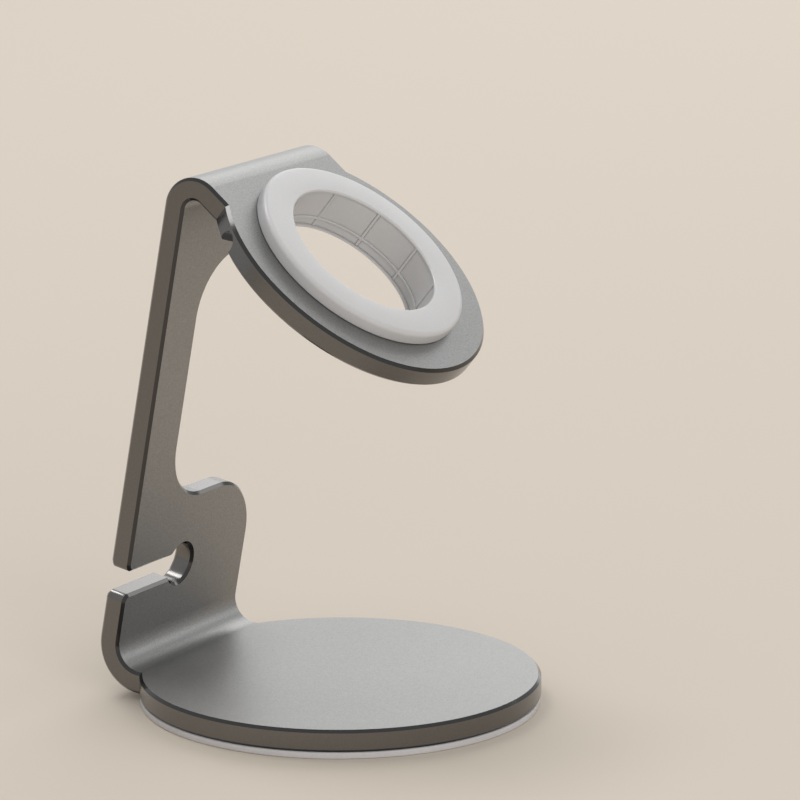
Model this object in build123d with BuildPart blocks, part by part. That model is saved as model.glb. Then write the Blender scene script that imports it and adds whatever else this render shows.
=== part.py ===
"""A folded aluminium stand whose round head holds the charging puck of a smartwatch.

X runs across the stand, -Y is the front, +Z is up. The base disc is centred on the Z axis and the
stand rests on z = 0. One plate makes the base, the upright and the head: it is bent up behind the
base disc and folded forwards again over the top. Sizes are in millimetres.
"""

import os
from math import sqrt

from build123d import *

# Plate
plate_thickness = 3.85
edge_chamfer = 0.5
arm_width = 37.6

# Base disc and the lower bend. Both bend radii are those of the plate's inner face.
base_radius = 34.6
heel_length = 0.3
lower_bend_radius = 4.15
lean_angle = 10.6

# Upright, with the strap window that is open to the +X side
upright_length = 78.5
stem_width = 10.0
window_bottom = 23.4
window_radius = 10.3
crossbar_height = 10.8
shoulder_flat = 6.0
brow_radius = 9.0

# Keyhole for the charger's lead, open to the -X side
keyhole_height = 10.6
keyhole_offset = -2.1
keyhole_radius = 3.6
slot_width = 4.2
slot_mouth_radius = 1.4

# Upper bend, and the head, whose rim is the part of it outside the ring
upper_bend_radius = 2.0
bend_clearance = 1.9
head_slope = 38.9
head_radius = 25.8
head_rim = 6.0

# Channel for the lead, cut into the head's underside from the bore to the rim
lead_angle = 151.0
lead_radius = 1.9
lead_depth = 2.85

# Grip ring, a soft grommet that lines the head's bore and holds the puck. It has a lip at its top
# and at its foot.
ring_clearance = 0.1
ring_wall = 3.3
top_lip = 2.3
top_lip_height = 2.5
top_lip_rounding = 1.1
foot_lip = 1.5
foot_lip_height = 2.0
foot_lip_rounding = 0.4
mouth_height = 0.8
mouth_rounding = 0.5
stop_width = 0.5
stop_height = 0.5
rib_count = 10
rib_width = 0.6
rib_height = 0.2

# Pad under the base
pad_thickness = 1.15
pad_inset = 0.1

base_top = pad_thickness + plate_thickness
window_height = upright_length - window_bottom - crossbar_height
shoulder_radius = arm_width - stem_width - window_radius - shoulder_flat
top_lip_radius = head_radius - head_rim
bore_radius = top_lip_radius - top_lip
foot_lip_radius = bore_radius + foot_lip
puck_radius = bore_radius - ring_wall
cut_margin = 2.0

# The lower bend starts a short heel behind the corners where the arm leaves the base disc. The
# upper bend starts behind the ring.
lower_bend_start = sqrt(base_radius**2 - (arm_width / 2) ** 2) + heel_length
head_reach = top_lip_radius + bend_clearance

os.makedirs("parts", exist_ok=True)

# Side view of the plate: its outer face and then its inner one, each as a path from the front of
# the base to the tip of the head.
with BuildSketch(Plane.YZ) as side_view:
    with BuildLine():
        tips = []
        for depth in (plate_thickness, 0):
            base_front = (-base_radius, base_top - depth)
            base_line = PolarLine(base_front, base_radius + lower_bend_start, 0)
            rise_angle = 90 + lean_angle
            lower_bend = JernArc(base_line @ 1, base_line % 1, lower_bend_radius + depth, rise_angle)
            upright_line = PolarLine(lower_bend @ 1, upright_length, direction=lower_bend % 1)
            fold_angle = 90 - lean_angle + head_slope
            upper_bend = JernArc(upright_line @ 1, upright_line % 1, upper_bend_radius + depth, fold_angle)
            head_line = PolarLine(upper_bend @ 1, head_reach + head_radius, direction=upper_bend % 1)
            tips.append((base_line @ 0, head_line @ 1))
        for outer_tip, inner_tip in zip(*tips):
            Line(outer_tip, inner_tip)
    make_face()

# The two planes lie on the plate's inner face. Y runs up the upright, and on the head it runs from
# the disc's centre back to the upper bend.
upright_foot = Plane.YZ.from_local_coords(lower_bend @ 1)
upright_plane = Plane(upright_foot, x_dir=(1, 0, 0), z_dir=(0, -1, 0)).rotated((lean_angle, 0, 0))
head_centre = Plane.YZ.from_local_coords(head_line @ (head_reach / (head_reach + head_radius)))
head_plane = Plane(head_centre).rotated((head_slope, 0, 0))

# Outline of the plate, seen square to each of its three panels. The panels overlap at the bends,
# where all of them are as wide as the arm.
with BuildPart() as outline:
    with BuildSketch():
        Circle(base_radius)
        Rectangle(arm_width, 2 * base_radius, align=(Align.CENTER, Align.MIN))
    extrude(amount=upright_foot.Z + cut_margin)
    with BuildSketch(upright_plane) as upright_outline:
        Rectangle(arm_width, upright_length + head_radius, align=(Align.CENTER, Align.MIN))
        with Locations((stem_width - arm_width / 2, window_bottom)):
            RectangleRounded(2 * arm_width, window_height, window_radius, align=Align.MIN, mode=Mode.SUBTRACT)
        shoulder = upright_outline.vertices().group_by(Axis.X)[-1].sort_by(Axis.Y)[1]
        fillet(shoulder, shoulder_radius)
        brow = upright_outline.vertices().group_by(Axis.X)[-1].sort_by(Axis.Y)[2]
        fillet(brow, brow_radius)
        with Locations((keyhole_offset, keyhole_height)):
            Circle(keyhole_radius, mode=Mode.SUBTRACT)
            Rectangle(arm_width, slot_width, align=(Align.MAX, Align.CENTER), mode=Mode.SUBTRACT)
        slot_mouth = upright_outline.vertices().group_by(Axis.X)[0].sort_by(Axis.Y)[1:3]
        fillet(slot_mouth, slot_mouth_radius)
    extrude(amount=plate_thickness + cut_margin, both=True)
    with BuildSketch(head_plane):
        Circle(head_radius)
        Rectangle(arm_width, head_reach + plate_thickness, align=(Align.CENTER, Align.MIN))
    extrude(amount=plate_thickness + cut_margin)

# Cutter for the lead: a round-topped slot, open downwards, that runs out from the head's centre.
lead_direction = head_plane.x_dir.rotate(Axis(head_plane.origin, head_plane.z_dir), lead_angle)
lead_across = head_plane.z_dir.cross(lead_direction)
with BuildPart() as lead_way:
    with BuildSketch(Plane(head_plane.origin, x_dir=lead_across, z_dir=lead_direction)):
        with Locations((0, lead_depth - lead_radius)):
            Circle(lead_radius)
            Rectangle(2 * lead_radius, lead_depth + foot_lip_height, align=(Align.CENTER, Align.MAX))
    extrude(amount=head_radius + cut_margin)

def is_skin(face):
    """True for the plate's two broad faces: flat on the panels, rolled about X at the bends."""
    if face.geom_type == GeomType.CYLINDER:
        return abs(face.axis_of_rotation.direction.X) > 0.9
    panel_planes = (Plane.XY, upright_plane, head_plane)
    return any(abs(face.normal_at().dot(plane.z_dir)) > 0.999 for plane in panel_planes)

with BuildPart() as stand_frame:
    extrude(side_view.sketch, amount=base_radius + head_radius, both=True)
    add(outline, mode=Mode.INTERSECT)
    # An edge of one broad face alone is on the outline, and an edge of two is a bend line.
    skin_edges = [edge for face in stand_frame.faces() if is_skin(face) for edge in face.edges()]
    rim = [edge for edge in skin_edges if skin_edges.count(edge) == 1]
    chamfer(rim, edge_chamfer)
    with BuildSketch(head_plane):
        Circle(bore_radius)
    extrude(amount=plate_thickness, mode=Mode.SUBTRACT)
    add(lead_way, mode=Mode.SUBTRACT)
stand_frame.part.label = "stand_frame"
export_step(stand_frame.part, "parts/stand_frame.step")

# The pad covers the flat underside of the base and stops where the plate starts to rise.
with BuildPart() as base_pad:
    with BuildSketch():
        Circle(base_radius - pad_inset)
        with Locations((0, lower_bend_start)):
            Rectangle(2 * base_radius, base_radius, align=(Align.CENTER, Align.MIN), mode=Mode.SUBTRACT)
    extrude(amount=pad_thickness)
base_pad.part.label = "base_pad"
export_step(base_pad.part, "parts/base_pad.step")

# Half section of the grip ring, with its axis as Y and the plate's underside at zero. The wall is
# set back between a rounded mouth and a stop for the puck, and a hoop runs round it.
ring_section = Plane(head_plane.origin, x_dir=head_plane.x_dir, z_dir=-head_plane.y_dir)
ring_top = plate_thickness + top_lip_height
wall_top = ring_top - mouth_height
wall_foot = stop_height - foot_lip_height
body_radius = bore_radius - ring_clearance
rib_radius = puck_radius - rib_height
with BuildPart() as grip_ring:
    with BuildSketch(ring_section) as half_section:
        with BuildLine():
            Polyline(
                (puck_radius - stop_width, -foot_lip_height),
                (foot_lip_radius, -foot_lip_height),
                (foot_lip_radius, 0),
                (body_radius, 0),
                (body_radius, plate_thickness),
                (top_lip_radius, plate_thickness),
                (top_lip_radius, ring_top),
                (rib_radius, ring_top),
                (rib_radius, wall_top),
                (puck_radius, wall_top),
                (puck_radius, wall_foot),
                (puck_radius - stop_width, wall_foot),
                close=True,
            )
        make_face()
        mouth_corner = half_section.vertices().group_by(Axis.Y)[-1].sort_by(Axis.X)[0]
        fillet(mouth_corner, mouth_rounding)
        top_corner = half_section.vertices().group_by(Axis.Y)[-1].sort_by(Axis.X)[-1]
        fillet(top_corner, top_lip_rounding)
        foot_corner = half_section.vertices().group_by(Axis.Y)[0].sort_by(Axis.X)[-1]
        fillet(foot_corner, foot_lip_rounding)
        with Locations((rib_radius, 0)):
            Rectangle(2 * rib_height, rib_width, align=(Align.MIN, Align.CENTER))
    revolve(axis=Axis(head_plane.origin, head_plane.z_dir))
    with BuildSketch(head_plane.offset(wall_foot)):
        with PolarLocations(rib_radius, rib_count, start_angle=lead_angle + 180 / rib_count):
            Rectangle(2 * rib_height, rib_width, align=(Align.MIN, Align.CENTER))
    extrude(amount=wall_top - wall_foot)
    add(lead_way, mode=Mode.SUBTRACT)
grip_ring.part.label = "grip_ring"
export_step(grip_ring.part, "parts/grip_ring.step")
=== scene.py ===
import bmesh
import bpy
import numpy as np
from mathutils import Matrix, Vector


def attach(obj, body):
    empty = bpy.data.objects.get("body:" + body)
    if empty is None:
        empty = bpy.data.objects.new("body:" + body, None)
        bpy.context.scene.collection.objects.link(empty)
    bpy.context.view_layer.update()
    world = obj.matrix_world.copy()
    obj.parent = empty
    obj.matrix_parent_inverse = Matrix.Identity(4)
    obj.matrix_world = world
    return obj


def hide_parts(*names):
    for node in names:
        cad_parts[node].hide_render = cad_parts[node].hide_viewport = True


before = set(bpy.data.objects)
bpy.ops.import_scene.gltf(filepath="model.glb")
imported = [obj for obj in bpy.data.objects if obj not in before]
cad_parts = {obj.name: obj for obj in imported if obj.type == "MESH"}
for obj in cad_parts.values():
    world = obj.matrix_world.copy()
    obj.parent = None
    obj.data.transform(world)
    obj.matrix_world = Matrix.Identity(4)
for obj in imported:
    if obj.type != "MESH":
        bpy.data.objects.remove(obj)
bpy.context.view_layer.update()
mm = 0.001

# Sizes of the plate, which its finish and the soft pieces go by: a flat base, a bend, an upright
# that leans forwards, a second bend, and a head that slopes down to the front.
plate = {
    "baseRadius": 34.6,
    "baseTop": 5.0,
    "armWidth": 37.6,
    "heel": 0.3,  # from where the arm leaves the round of the base to the lower bend
    "lowerBend": 4.15,  # both bends' radii are those of the inner face
    "lean": 10.6,  # degrees, as the slope is
    "upright": 78.5,
    "upperBend": 2.0,
    "slope": 38.9,
    "headReach": 21.7,  # from the head's centre back to the upper bend
}
lean, slope = np.radians(plate["lean"]), np.radians(plate["slope"])
uprightUp = np.array([0.0, -np.sin(lean), np.cos(lean)])
uprightBack = np.array([0.0, np.cos(lean), np.sin(lean)])
headAcross = np.array([1.0, 0.0, 0.0])
headBack = np.array([0.0, np.cos(slope), np.sin(slope)])  # uphill, towards the upper bend
headUp = np.array([0.0, -np.sin(slope), np.cos(slope)])

# Places on the inner face, which is the base's top and the head's underside, and the bends' axes.
bendStart = np.sqrt(plate["baseRadius"] ** 2 - (plate["armWidth"] / 2) ** 2) + plate["heel"]
lowerAxis = np.array([0.0, bendStart, plate["baseTop"] + plate["lowerBend"]])
uprightFoot = lowerAxis + plate["lowerBend"] * uprightBack
uprightTip = uprightFoot + plate["upright"] * uprightUp
upperAxis = uprightTip - plate["upperBend"] * uprightBack
headEnd = upperAxis + plate["upperBend"] * headUp
headCentre = headEnd - plate["headReach"] * headBack
print("plate laid out, head centre at", headCentre.round(4).tolist())


# Shader sums
class Term:
    # One shader value. A sum written with it adds the Math nodes that work it out.
    def __init__(self, finish, plug):
        self.finish, self.plug = finish, plug

    def __add__(self, other):
        return self.finish.math("ADD", self, other)

    def __sub__(self, other):
        return self.finish.math("SUBTRACT", self, other)

    def __rsub__(self, other):
        return self.finish.math("SUBTRACT", other, self)

    def __mul__(self, other):
        return self.finish.math("MULTIPLY", self, other)

    def __truediv__(self, other):
        return self.finish.math("DIVIDE", self, other)

    def __rtruediv__(self, other):
        return self.finish.math("DIVIDE", other, self)

    def __abs__(self):
        return self.finish.math("ABSOLUTE", self)

    __radd__, __rmul__ = __add__, __mul__


class Finish:
    # One material. Patterns read Object coordinates, in metres.
    def __init__(self, name):
        self.material = bpy.data.materials.new(name)
        self.material.use_nodes = True
        self.tree = self.material.node_tree
        self.shader = self.tree.nodes["Principled BSDF"]
        self.where = self.node("ShaderNodeTexCoord", {}, {}, "Object")

    def node(self, kind, settings, sockets, out=0):
        # Adds a node: its settings first, then the values or links of its sockets.
        new = self.tree.nodes.new(kind)
        for name, value in settings.items():
            setattr(new, name, value)
        for name, value in sockets.items():
            self.feed(new.inputs[name], value)
        if isinstance(out, tuple):
            return [Term(self, new.outputs[each]) for each in out]
        return Term(self, new.outputs[out])

    def feed(self, plug, value):
        if isinstance(value, Term):
            self.tree.links.new(value.plug, plug)
        else:
            plug.default_value = value

    def set(self, **values):
        # Values or links of the Principled shader's own sockets, named without their spaces.
        plugs = {plug.name.replace(" ", ""): plug for plug in self.shader.inputs}
        for name, value in values.items():
            self.feed(plugs[name], value)

    def math(self, how, *values):
        return self.node("ShaderNodeMath", {"operation": how}, dict(enumerate(values)))

    def split(self, vector):
        return self.node("ShaderNodeSeparateXYZ", {}, {0: vector}, (0, 1, 2))

    def grain(self, scale, detail, rough):
        # Noise from 0 to 1, scale being its number of blots in a metre.
        sockets = {"Vector": self.where, "Scale": scale, "Detail": detail, "Roughness": rough}
        return self.node("ShaderNodeTexNoise", {}, sockets, "Fac")

    def ramp(self, value, low, high):
        # Rises smoothly from 0 to 1 as the value goes from low to high.
        sockets = {"Value": value, "From Min": low, "From Max": high, "To Min": 0.0, "To Max": 1.0}
        return self.node("ShaderNodeMapRange", {"interpolation_type": "SMOOTHSTEP"}, sockets)

    def blend(self, share, first, second):
        # First where the share is 0 and second where it is 1. Both are colours.
        settings = {"data_type": "RGBA", "clamp_factor": True}
        return self.node("ShaderNodeMix", settings, {0: share, 6: first, 7: second}, 2)

    def bump(self, height, strength, distance):
        sockets = {"Strength": strength, "Distance": distance, "Height": height}
        return self.node("ShaderNodeBump", {}, sockets)


def shade(colour):
    return (*colour, 1.0)


# Dark anodised aluminium
blastedPlate = {
    "body": (0.288, 0.285, 0.281),
    "bodyLight": (0.362, 0.358, 0.353),
    "edge": (0.182, 0.176, 0.169),  # the milled edges, painted darker as shade for their dark reflections
    "edgeLight": (0.204, 0.197, 0.19),
    "cut": (0.082, 0.08, 0.078),  # chamfers cut smooth, painted near black as a dark reflection
    "bodyRoughness": 0.34,
    "edgeRoughness": 0.19,
    "cutRoughness": 0.14,
    "sand": (3300.0, 1.0, 0.6),  # noises: blots in a metre, detail, roughness
    "fine": (7260.0, 0.0, 0.5),
    "cloud": (38.0, 3.0, 0.5),
    "sandShare": 0.6,  # of the sand in the specks, the fine noise having the rest
    "speckShare": 0.85,  # of the specks in the mottle, the cloud having the rest
    "mottle": (0.36, 0.64),  # noise levels between which a colour goes to its light one
    "speckRoughness": 0.1,  # what the specks and the cloud add on a broad face
    "cloudRoughness": 0.05,
    "edgeUneven": 0.4,  # share of that which an edge gets
    "edgeBump": 0.1,  # shares of the broad faces' bump
    "cutBump": 0.05,
    "bumpStrength": 0.32,
    "bumpDepth": 0.11,
    "broadFrom": (0.84, 0.92),  # shares of the normal over which a chamfer becomes a broad face
    "edgeTo": (0.42, 0.52),  # and over which an edge becomes a chamfer
    "seam": 0.01,  # half the width over which one panel's rule gives way to the next one's
    "baseHigh": 8.0,  # everything lower goes by the base's rule
    "uprightFront": 1.5,  # the upright's rule starts this far in front of its inner face
}


def makeBlastedPlate():
    # The broad faces are blasted, the edges are milled, and the chamfers between them are smooth
    # cuts, whose near-black colour is a painted dark reflection. They are told apart by the share of
    # the normal that points out of the plate: 1 on a broad face, about 0.7 on a chamfer and 0 on an
    # edge. Out of the plate means upwards on the base, square to the panel on the upright and the
    # head, and away from the axis of a bend.
    look = blastedPlate
    finish = Finish("blastedAluminium")
    along, height = finish.split(finish.where)[1:]
    faceAlong, faceUp = finish.split(finish.node("ShaderNodeTexCoord", {}, {}, "Normal"))[1:]

    def towards(way, partY, partZ):
        # How much of a vector, given by its y and z, lies along a direction.
        return partY * way[1] + partZ * way[2]

    def awayFrom(axis):
        # Share of the normal that points away from a bend's axis.
        stepY, stepZ = along - axis[1] * mm, height - axis[2] * mm
        length = finish.math("POWER", stepY * stepY + stepZ * stepZ, 0.5)
        return abs(stepY * faceAlong + stepZ * faceUp) / length

    def beyond(value, line):
        # 1 where the value, in metres, is past the line, in millimetres.
        return finish.ramp(value, (line - look["seam"]) * mm, (line + look["seam"]) * mm)

    # low is 1 on the base and its bend, middle on the upright, and high on the head and its bend.
    climbed = towards(uprightUp, along, height)
    underFoot = 1 - beyond(climbed, uprightFoot @ uprightUp)
    underTip = 1 - beyond(climbed, uprightTip @ uprightUp)
    uprightFrom = uprightFoot @ uprightBack - look["uprightFront"]
    behind = beyond(towards(uprightBack, along, height), uprightFrom)
    low = finish.math("MAXIMUM", underFoot, 1 - beyond(height, look["baseHigh"]))
    middle = (1 - low) * behind * underTip
    high = (1 - low) * (1 - middle)
    pastBase = beyond(along, bendStart)
    pastHead = beyond(towards(headBack, along, height), headEnd @ headBack)
    onHead = abs(towards(headUp, faceAlong, faceUp))
    out = (
        low * (pastBase * awayFrom(lowerAxis) + (1 - pastBase) * abs(faceUp))
        + middle * abs(towards(uprightBack, faceAlong, faceUp))
        + high * (pastHead * awayFrom(upperAxis) + (1 - pastHead) * onHead)
    )
    broad = finish.ramp(out, *look["broadFrom"])
    edge = 1 - finish.ramp(out, *look["edgeTo"])
    cut = 1 - broad - edge

    sand, fine, cloud = [finish.grain(*look[noise]) for noise in ("sand", "fine", "cloud")]
    speck = sand * look["sandShare"] + fine * (1 - look["sandShare"])
    patches = speck * look["speckShare"] + cloud * (1 - look["speckShare"])
    mottle = finish.ramp(patches, *look["mottle"])
    body = finish.blend(mottle, shade(look["body"]), shade(look["bodyLight"]))
    # The edges' colours are painted darker than the broad faces', as painted shade for their dark
    # reflections.
    paintedDarkerSides = finish.blend(mottle, shade(look["edge"]), shade(look["edgeLight"]))
    rough = broad * look["bodyRoughness"] + edge * look["edgeRoughness"] + cut * look["cutRoughness"]
    uneven = speck * look["speckRoughness"] + cloud * look["cloudRoughness"]
    blasted = speck * (broad + edge * look["edgeBump"] + cut * look["cutBump"])
    # The chamfers take the near-black colour, a painted dark reflection.
    finish.set(
        BaseColor=finish.blend(cut, finish.blend(edge, body, paintedDarkerSides), shade(look["cut"])),
        Metallic=1.0,
        Roughness=rough + uneven * (broad + edge * look["edgeUneven"]),
        Normal=finish.bump(blasted, look["bumpStrength"], look["bumpDepth"] * mm),
    )
    return finish.material


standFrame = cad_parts["stand_frame"]
aluminium = makeBlastedPlate()
for materialSlot in standFrame.material_slots:
    materialSlot.material = aluminium
print("aluminium finish on", standFrame.name)


# Shapes from loops of points
meshing = {
    "mergeWithin": 0.0002,  # points closer than this become one
    "dropUnder": 0.0001,  # edges shorter than this are taken out
    "sharpAngle": 32.0,  # degrees, past which an edge is shaded sharp
}


def roundedProfile(corners, steps):
    # A closed outline of corners (across, up, radius), each replaced by an arc. The arc's tangents
    # meet the sides at radius * tan(turn / 2) from the corner, and its points swing about its
    # centre by equal shares of the turn.
    spots, radii = np.array(corners)[:, :2], np.array(corners)[:, 2]
    before, after = spots - np.roll(spots, 1, 0), np.roll(spots, -1, 0) - spots
    before /= np.linalg.norm(before, axis=1)[:, None]
    after /= np.linalg.norm(after, axis=1)[:, None]
    cross = before[:, 0] * after[:, 1] - before[:, 1] * after[:, 0]
    turn = np.arctan2(cross, (before * after).sum(1))
    reach = radii * np.tan(abs(turn) / 2)
    side = np.stack([-before[:, 1], before[:, 0]], 1) * np.sign(turn)[:, None]
    centre = spots - before * reach[:, None] + side * radii[:, None]
    swing = turn[:, None] * np.linspace(0, 1, steps)[None, :]
    arm = -side[:, None, :] * radii[:, None, None]
    spunAcross = arm[..., 0] * np.cos(swing) - arm[..., 1] * np.sin(swing)
    spunUp = arm[..., 0] * np.sin(swing) + arm[..., 1] * np.cos(swing)
    return (centre[:, None, :] + np.stack([spunAcross, spunUp], -1)).reshape(-1, 2)


def loopFaces(loops, count, first=0):
    # Quads between neighbouring closed loops, point j of loop i being first + i * count + j.
    i, j = np.arange(loops - 1)[:, None], np.arange(count)[None, :]
    after = (j + 1) % count
    quads = [i * count + j, i * count + after, (i + 1) * count + after, (i + 1) * count + j]
    return first + np.stack(quads, -1).reshape(-1, 4)


def makePiece(name, points, faces, material):
    # Puts points in millimetres and arrays of faces into a closed mesh with its doubles merged.
    mesh = bpy.data.meshes.new(name)
    mesh.from_pydata((points * mm).tolist(), [], [face for group in faces for face in group.tolist()])
    work = bmesh.new()
    work.from_mesh(mesh)
    bmesh.ops.remove_doubles(work, verts=work.verts, dist=meshing["mergeWithin"] * mm)
    bmesh.ops.dissolve_degenerate(work, edges=work.edges, dist=meshing["dropUnder"] * mm)
    bmesh.ops.recalc_face_normals(work, faces=work.faces)
    openEdges = sum(1 for edge in work.edges if not edge.is_manifold)
    work.to_mesh(mesh)
    work.free()
    mesh.shade_smooth()
    mesh.set_sharp_from_angle(angle=np.radians(meshing["sharpAngle"]))
    mesh.materials.append(material)
    piece = bpy.data.objects.new(name, mesh)
    bpy.context.scene.collection.objects.link(piece)
    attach(piece, "root")
    print(name, len(mesh.vertices), "points,", len(mesh.polygons), "faces,", openEdges, "open edges")
    return piece


# Silicone, matte and slightly see-into
silicone = {
    "skin": (2600.0, 3.0, 0.55),  # noises: blots in a metre, detail, roughness
    "cloud": (60.0, 2.0, 0.5),
    "skinShare": 0.45,  # of the skin in the mottle, the cloud having the rest
    "mottle": (0.35, 0.65),  # noise levels between which the deep tint goes to the light one
    "skinRoughness": 0.1,
    "seeInto": 0.3,
    "seeIntoDepth": 1.2,
    "seeIntoTint": (1.0, 0.92, 0.85),
    "bumpStrength": 0.1,
    "bumpDepth": 0.04,
}


def makeSilicone(name, piece):
    # The tints and the roughness are the piece's own.
    finish = Finish(name)
    skin, cloud = finish.grain(*silicone["skin"]), finish.grain(*silicone["cloud"])
    patches = skin * silicone["skinShare"] + cloud * (1 - silicone["skinShare"])
    mottle = finish.ramp(patches, *silicone["mottle"])
    finish.set(
        BaseColor=finish.blend(mottle, shade(piece["tintDeep"]), shade(piece["tint"])),
        Roughness=skin * silicone["skinRoughness"] + piece["roughness"],
        SubsurfaceWeight=silicone["seeInto"],
        SubsurfaceRadius=silicone["seeIntoTint"],
        SubsurfaceScale=silicone["seeIntoDepth"] * mm,
        Normal=finish.bump(skin, silicone["bumpStrength"], silicone["bumpDepth"] * mm),
    )
    return finish.material


# Grip ring, with radii from the head's axis and heights from the head's underside
gripRing = {
    "bodyRadius": 17.4,
    "bodyCorner": 0.05,
    "topLipRadius": 19.8,
    "topLipUnder": 3.85,
    "topLipCorner": 0.25,
    "top": 6.35,
    "topRounding": 0.82,
    "footRadius": 19.0,
    "foot": -2.0,
    "footRounding": 0.4,
    "footCorner": 0.15,
    "wallRadius": 14.2,
    "wallTop": 5.8,
    "mouthRadius": 14.0,
    "mouthBevel": (0.2, 0.22),  # across and up
    "mouthCorner": 0.12,
    "stopRadius": 13.6,
    "stopTop": -1.75,
    "stopCorners": (0.05, 0.08),  # at its top and at its foot
    "stopCrease": 0.17,  # height of the stop's crease, which is twice as deep as the others
    "ribs": 10,
    "ribHalfWidth": 0.22,  # and the hoop's
    "ribHeight": 0.2,
    "ribRounding": (0.05, 0.04),  # how far in and how far down a rib's edge is rounded off
    "ribSide": 0.04,  # width of the slope from a rib's edge into its crease
    "hoopCorner": 0.06,
    "creaseDepth": 0.11,  # of the fine lines beside the ribs, the hoop and the mouth
    "creaseWide": 0.13,
    "creaseCorner": 0.03,
    "creaseSide": 0.03,  # width of the slope from a rib's crease up to the wall
    "creaseDrop": 0.02,  # how much lower the mouth's crease starts where it is deepest
    "leadAngle": 151.0,
    "leadRadius": 1.9,
    "leadTop": 2.85,
    "cornerSteps": 7,  # points on each arc of the section
    "columns": 181,  # at even steps, of which those near a rib are left out
    "ribClear": 0.7,  # how near to a rib's middle that is
    "ribColumns": (-0.08, -0.02, 0.02, 0.05),  # places of the closer columns, from a rib's edge
    "creaseColumn": 0.04,  # place of the outermost, from the end of the rib's crease
    "wayColumns": 15,
    "roofSteps": 8,  # points along the way's roof, with those on the section
    "tint": (0.545, 0.538, 0.536),
    "tintDeep": (0.512, 0.505, 0.502),
    "roughness": 0.27,
}


def ringOutline(archFoot):
    # The ring's section as a closed outline: up its outside, over the top, and down the inner
    # wall. The second value is the number of the point where the wall meets the arch's foot.
    ring = gripRing
    wall, mouth, half = ring["wallRadius"], ring["mouthRadius"], ring["ribHalfWidth"]
    creased, stopCreased = wall + ring["creaseDepth"], wall + 2 * ring["creaseDepth"]
    mouthEnd, hoopEnd = ring["wallTop"] - ring["creaseWide"], half + ring["creaseWide"]
    stopEnd = ring["stopTop"] + ring["stopCrease"]
    fine, soft = ring["creaseCorner"], ring["hoopCorner"]
    above = [
        (ring["bodyRadius"], archFoot, 0.0),
        (ring["bodyRadius"], ring["topLipUnder"], ring["bodyCorner"]),
        (ring["topLipRadius"], ring["topLipUnder"], ring["topLipCorner"]),
        (ring["topLipRadius"], ring["top"], ring["topRounding"]),
        (mouth + ring["mouthBevel"][0], ring["top"], ring["mouthCorner"]),
        (mouth, ring["top"] - ring["mouthBevel"][1], ring["mouthCorner"]),
        (mouth, ring["wallTop"], soft),
        (creased, ring["wallTop"] - ring["creaseDrop"], fine),
        (creased, mouthEnd, fine),
        (wall, mouthEnd, fine),
    ]
    below = [
        (wall, archFoot, 0.0),
        (wall, hoopEnd, fine),
        (creased, hoopEnd, fine),
        (creased, half, fine),
        (mouth, half, soft),
        (mouth, -half, soft),
        (creased, -half, fine),
        (creased, -hoopEnd, fine),
        (wall, -hoopEnd, fine),
        (wall, stopEnd, fine),
        (stopCreased, stopEnd, fine),
        (stopCreased, ring["stopTop"], fine),
        (ring["stopRadius"], ring["stopTop"], ring["stopCorners"][0]),
        (ring["stopRadius"], ring["foot"], ring["stopCorners"][1]),
        (ring["footRadius"], ring["foot"], ring["footRounding"]),
        (ring["footRadius"], 0.0, ring["footCorner"]),
        (ring["bodyRadius"], 0.0, ring["bodyCorner"]),
    ]
    steps = ring["cornerSteps"]
    return roundedProfile(above + below, steps), len(above) * steps


def ringColumns(outline):
    # Columns round the ring, all but the lead's way. Angles count from the middle of that way. A
    # point of the section at radius r and height h lies, in the column at angle t, at
    # (r cos t, r sin t, h). On the inner wall, r is at most the wall's radius less the rise of the
    # rib where a rib is, and at least that beside it.
    ring = gripRing
    wall, crease, half = ring["wallRadius"], ring["creaseDepth"], ring["ribHalfWidth"]
    creaseEnd = half + ring["creaseWide"]
    radius, height = outline.T
    ribAt = (np.arange(ring["ribs"]) + 0.5) * 2 * np.pi / ring["ribs"]

    # Even columns, and closer ones across each rib.
    beside = half + np.array(ring["ribColumns"])
    ribSide = np.array([0.0, *beside, creaseEnd, creaseEnd + ring["creaseColumn"]])
    ribSteps = np.concatenate([-ribSide[:0:-1], ribSide]) / wall
    gap = np.arcsin(ring["leadRadius"] / wall)
    even = np.linspace(gap, 2 * np.pi - gap, ring["columns"])
    nearRib = abs(even[:, None] - ribAt[None, :]).min(1) < ring["ribClear"] / wall
    turnAt = np.sort(np.concatenate([even[~nearRib], (ribAt[:, None] + ribSteps[None, :]).ravel()]))

    # The way has the same width at every radius, so a column's angle is its share of the round
    # that is left at that radius.
    share = (turnAt - gap) / (2 * np.pi - 2 * gap)
    edge = np.arcsin(ring["leadRadius"] / radius)
    turn = edge[None, :] + (2 * np.pi - 2 * edge[None, :]) * share[:, None]

    # A rib's rise goes from its full height, over its rounded edge, into the crease and out to
    # the wall.
    inFrom, drop = ring["ribRounding"]
    ribOut = [half - inFrom, half, half + ring["ribSide"], creaseEnd, creaseEnd + ring["creaseSide"]]
    ribUp = [ring["ribHeight"], ring["ribHeight"] - drop, -crease, -crease, 0.0]
    offRib = abs(turn[:, :, None] - ribAt[None, None, :]).min(2) * wall
    rise = np.interp(offRib, ribOut, ribUp)
    ribbed = np.where(rise > 0, np.minimum(radius, wall - rise), np.maximum(radius, wall - rise))
    slack = 0.001  # so that rounding doesn't decide what is on the wall
    onWall = (radius > wall - slack) & (radius < wall + crease + slack)
    onWall &= (height < ring["wallTop"] + slack) & (height > ring["stopTop"] + slack)
    ribbed = np.where(onWall, ribbed, radius)
    lead = np.radians(ring["leadAngle"])
    heights = np.broadcast_to(height, turn.shape)
    return np.stack([ribbed * np.cos(turn + lead), ribbed * np.sin(turn + lead), heights], -1)


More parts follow.
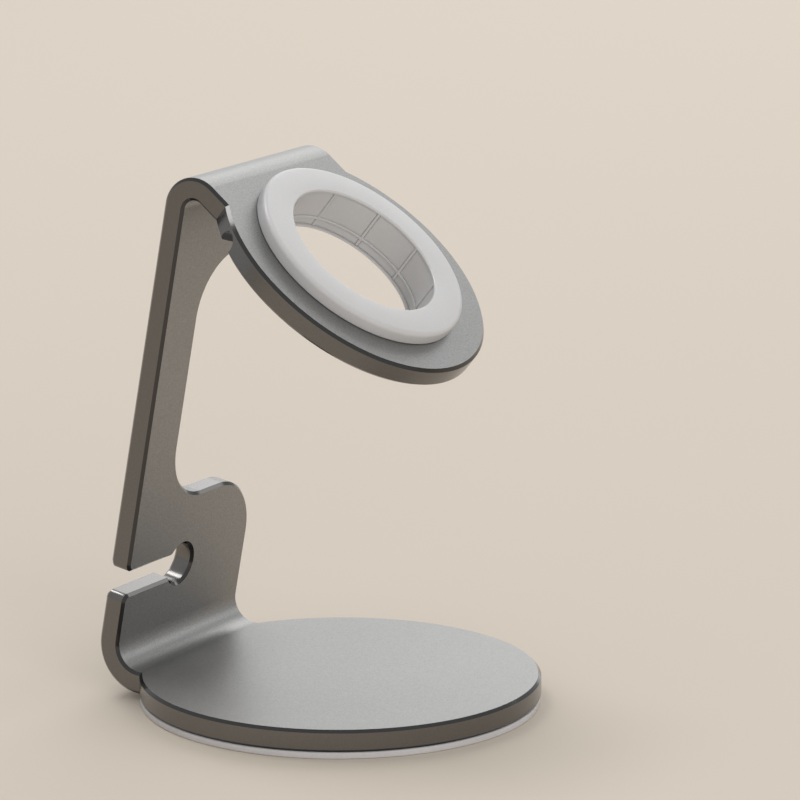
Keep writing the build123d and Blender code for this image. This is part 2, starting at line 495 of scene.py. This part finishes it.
def wayColumns(upper, archFoot):
    # Columns across the lead's way, with the part of the section that is above it and a roof of
    # their own. A column at turn s of the arch is leadRadius * sin(s) from the way's middle, and
    # its roof is leadRadius * cos(s) above the arch's foot. A point at radius r reaches
    # sqrt(r squared - across squared) along the way.
    ring = gripRing
    swing = np.linspace(-np.pi / 2, np.pi / 2, ring["wayColumns"])
    across = ring["leadRadius"] * np.sin(swing)[:, None]
    arch = archFoot + ring["leadRadius"] * np.cos(swing)[:, None]
    roof = np.linspace(ring["wallRadius"], ring["bodyRadius"], ring["roofSteps"])[1:-1]
    radius = np.concatenate([upper[:, 0], roof])[None, :]
    height = np.concatenate([upper[:, 1], np.full(len(roof), archFoot)])[None, :]
    reach = np.sqrt(radius**2 - across**2)
    lead = np.radians(ring["leadAngle"])
    alongX, alongY = np.cos(lead), np.sin(lead)
    heights = np.maximum(height, arch)
    return np.stack([reach * alongX - across * alongY, reach * alongY + across * alongX, heights], -1)


def makeGripRing():
    # The ring's section is carried round the head's axis, and above the lead's way it is carried
    # across that way. Two flat walls close the ring where the way cuts it.
    archFoot = gripRing["leadTop"] - gripRing["leadRadius"]
    outline, wallPoint = ringOutline(archFoot)
    rim, way = ringColumns(outline), wayColumns(outline[: wallPoint + 1], archFoot)
    rimLoops, rimCount = rim.shape[:2]
    wayLoops, wayCount = way.shape[:2]
    wayFirst = rimLoops * rimCount
    local = np.concatenate([rim.reshape(-1, 3), way.reshape(-1, 3)])
    points = headCentre + local @ np.stack([headAcross, headBack, headUp])

    # Each flat wall follows the section down from the arch's foot, round the ring's foot and up to
    # the section's start, and goes back along the roof.
    lower = np.append(np.arange(wallPoint, rimCount), 0)
    roof = np.arange(wayCount - 1, wallPoint, -1)
    firstWall = np.concatenate([lower, wayFirst + (wayLoops - 1) * wayCount + roof])
    lastWall = np.concatenate([(rimLoops - 1) * rimCount + lower, wayFirst + roof])
    faces = [
        loopFaces(rimLoops, rimCount),
        loopFaces(wayLoops, wayCount, wayFirst),
        firstWall[None, :],
        lastWall[None, :],
    ]
    piece = makePiece("gripRing", points, faces, makeSilicone("ringSilicone", gripRing))
    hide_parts("grip_ring")


makeGripRing()


# Base pad, which ends where the plate starts to rise
basePad = {
    "inset": 0.1,  # from the rim of the base
    "thick": 1.15,
    "rounding": 0.28,
    "inwards": (26.0, 18.0, 10.0, 4.0, 1.2),  # insets of the loops on its flat faces
    "backLimit": 0.985,  # share of its radius within which a loop's straight back stays
    "edgeSteps": 7,
    "roundPoints": 221,
    "backPoints": 42,
    "tint": (0.54, 0.522, 0.517),
    "tintDeep": (0.5, 0.483, 0.478),
    "roughness": 0.42,
}


def makeBasePad():
    # Loops with the outline of a disc cut straight at the back. Loop k is drawn in by inset(k) and
    # lies at height(k): out from the middle below, up the rounded edge by a quarter circle at its
    # foot and another at its top, and in to the middle above.
    pad = basePad
    rounding, thick = pad["rounding"], pad["thick"]
    quarter = np.linspace(0, np.pi / 2, pad["edgeSteps"])
    edgeInset = rounding * (1 - np.sin(quarter))
    edgeHeight = rounding * (1 - np.cos(quarter))
    inwards = np.array(pad["inwards"])
    bottom, top = np.zeros(len(inwards)), np.full(len(inwards), thick)
    inset = np.concatenate([inwards, edgeInset, edgeInset[::-1], inwards[::-1]])
    height = np.concatenate([bottom, edgeHeight, thick - edgeHeight[::-1], top])

    # The round of a loop goes from its right corner past the front to its left one, and the
    # straight goes back between the two.
    radius = plate["baseRadius"] - pad["inset"] - inset
    back = np.minimum(bendStart - inset, radius * pad["backLimit"])
    corner = np.arcsin(back / radius)[:, None]
    turn = corner - (2 * corner + np.pi) * np.linspace(0, 1, pad["roundPoints"])[None, :]
    arc = radius[:, None, None] * np.stack([np.cos(turn), np.sin(turn)], -1)
    backShare = np.linspace(0, 1, pad["backPoints"])[None, 1:-1, None]
    straight = arc[:, -1:, :] * (1 - backShare) + arc[:, :1, :] * backShare
    outline = np.concatenate([arc, straight], 1)
    loops, count = outline.shape[:2]
    heights = np.broadcast_to(height[:, None, None], (loops, count, 1))
    points = np.concatenate([outline, heights], -1).reshape(-1, 3)
    cap = np.arange(count)[None, :]
    faces = [loopFaces(loops, count), cap, (loops - 1) * count + cap]
    piece = makePiece("basePad", points, faces, makeSilicone("padSilicone", basePad))
    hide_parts("base_pad")


makeBasePad()


# Studio, with its lengths in metres
studio = {
    "floor": (0.65, 0.574, 0.486),
    "floorHalf": 6.0,
    "floorRoughness": 0.7,
    "floorGloss": 0.2,
    "sky": (0.98, 0.99, 1.0),
    "skyLevel": 0.55,
    "aim": (0.0, 0.0, 0.045),  # what every lamp points at
}
lamps = {
    # Place, size, radiance, and whether the metal mirrors the lamp.
    "window": ((1.35, 0.80, 0.50), 1.7, 0.56, True),
    "skylight": ((1.27, 0.27, 0.92), 0.9, 1.2, True),
    "corner": ((1.34, -0.71, 0.57), 0.4, 2.1, True),
    "overhead": ((0.2, 0.62, 1.30), 0.5, 6.0, True),
    "ceiling": ((0.1, -0.3, 1.4), 1.5, 0.2, False),
    "front": ((-0.75, -0.95, 0.2), 1.0, 3.0, False),
}


def makeLamp(name):
    # An area lamp of radiance r and area A has a power of pi * r * A.
    place, size, radiance, mirrored = lamps[name]
    lamp = bpy.data.lights.new(name, "AREA")
    lamp.shape, lamp.size, lamp.energy = "SQUARE", size, np.pi * radiance * size * size
    holder = bpy.data.objects.new(name, lamp)
    bpy.context.scene.collection.objects.link(holder)
    holder.location = place
    holder.rotation_mode = "QUATERNION"
    holder.rotation_quaternion = (Vector(studio["aim"]) - Vector(place)).to_track_quat("-Z", "Y")
    holder.visible_glossy = mirrored


def makeFloor():
    half = studio["floorHalf"]
    corners = [[-half, -half, 0], [half, -half, 0], [half, half, 0], [-half, half, 0]]
    floor = bpy.data.meshes.new("floor")
    floor.from_pydata(corners, [], [[0, 1, 2, 3]])
    finish = Finish("floorPaint")
    finish.set(
        BaseColor=shade(studio["floor"]),
        Roughness=studio["floorRoughness"],
        SpecularIORLevel=studio["floorGloss"],
    )
    floor.materials.append(finish.material)
    floorObject = bpy.data.objects.new("floor", floor)
    bpy.context.scene.collection.objects.link(floorObject)


def makeSky():
    world = bpy.data.worlds.new("studio")
    world.use_nodes = True
    sky = world.node_tree.nodes["Background"]
    sky.inputs["Color"].default_value = shade(studio["sky"])
    sky.inputs["Strength"].default_value = studio["skyLevel"]
    bpy.context.scene.world = world


makeFloor()
makeSky()
for lampName in lamps:
    makeLamp(lampName)
print("studio set with", len(lamps), "lamps")

# Camera, at the photograph's viewing angle. An azimuth of 0 looks along +Y.
shot = {
    "azimuth": -58.922,
    "elevation": 13.051,
    "distance": 770.68,
    "target": (-2.924, -13.740, 55.189),
    "lens": 206.75,
    "sensor": 36.0,
    "clip": (10.0, 20000.0),
}


def makeCamera():
    # The camera stands off its target by the distance, turned by the azimuth and raised by the
    # elevation, and looks back at it.
    turn, rise = np.radians(shot["azimuth"]), np.radians(shot["elevation"])
    back = np.array([np.sin(turn) * np.cos(rise), -np.cos(turn) * np.cos(rise), np.sin(rise)])
    lens = bpy.data.cameras.new("camera")
    lens.sensor_width, lens.lens = shot["sensor"], shot["lens"]
    lens.clip_start, lens.clip_end = shot["clip"][0] * mm, shot["clip"][1] * mm
    camera = bpy.data.objects.new("camera", lens)
    bpy.context.scene.collection.objects.link(camera)
    camera.location = (np.array(shot["target"]) + back * shot["distance"]) * mm
    camera.rotation_mode = "QUATERNION"
    camera.rotation_quaternion = Vector(-back).to_track_quat("-Z", "Y")
    bpy.context.scene.camera = camera


makeCamera()
bpy.context.scene.view_settings.view_transform = "Standard"
print("camera set")
